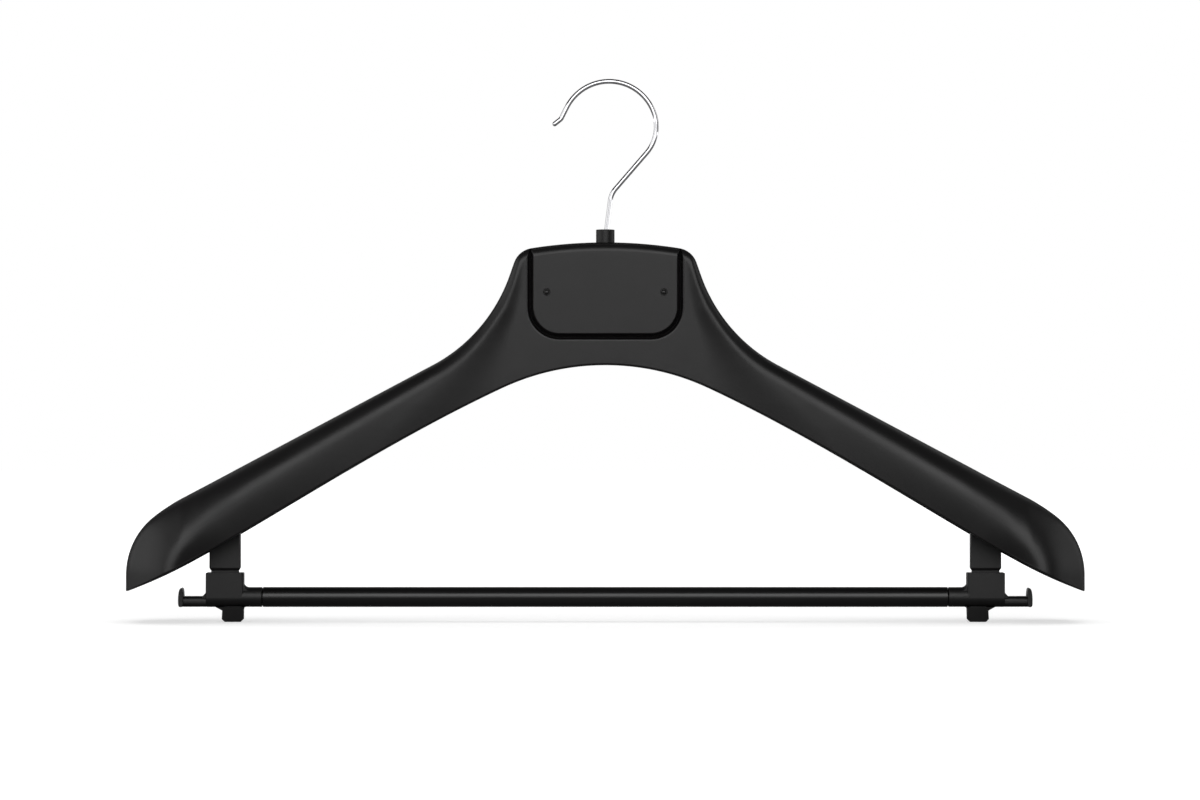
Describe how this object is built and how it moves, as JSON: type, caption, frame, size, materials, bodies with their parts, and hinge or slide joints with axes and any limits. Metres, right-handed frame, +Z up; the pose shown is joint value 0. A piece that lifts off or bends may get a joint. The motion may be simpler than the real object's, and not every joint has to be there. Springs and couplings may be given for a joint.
{
  "type": "suit hanger",
  "caption": "Wide-shouldered plastic suit hanger with a swivelling chromed wire hook, a round trouser bar between end brackets and upturned strap hooks.",
  "frame": {"origin": "on the hook's swivel axis, at the height of the inner crown of the hook, where the hook hangs on a rail", "axes": "+X along the shoulders to the wearer's left as seen from the front panel, +Z up, front panel at -Y"},
  "size_m": [0.45, 0.054, 0.2558],
  "materials": {
    "chromed_wire": "bright chromed round steel wire",
    "washer_steel": "plain zinc-bright steel washer",
    "collar_plastic": "black moulded plastic, satin",
    "body_plastic": "black moulded plastic, fine satin texture",
    "panel_plastic": "black moulded plastic, fine satin texture",
    "pin_plastic": "black plastic studs, slightly glossier than the panel",
    "leg_plastic": "black moulded plastic, satin",
    "bracket_plastic": "black moulded plastic, satin",
    "bar_plastic": "black extruded plastic rod, semi-gloss"
  },
  "bodies": {
    "hook": {"hook_wire": "chromed_wire", "hook_washer": "washer_steel"},
    "hanger": {"hanger_body": "body_plastic", "hook_collar": "collar_plastic", "front_panel": "panel_plastic", "panel_pin_left": "pin_plastic", "panel_pin_right": "pin_plastic", "leg_left": "leg_plastic", "leg_right": "leg_plastic", "bracket_left": "bracket_plastic", "bracket_right": "bracket_plastic"},
    "bar": {"trouser_bar": "bar_plastic"}
  },
  "joints": [
    {"name": "hook_swivel", "type": "hinge", "parent": "hook", "child": "hanger", "pos_m": [0, 0, 0], "axis": [0, 0, 1], "continuous": true},
    {"name": "bar_turn", "type": "hinge", "parent": "hanger", "child": "bar", "pos_m": [0, 0, -0.2418], "axis": [1, 0, 0], "continuous": true}
  ]
}
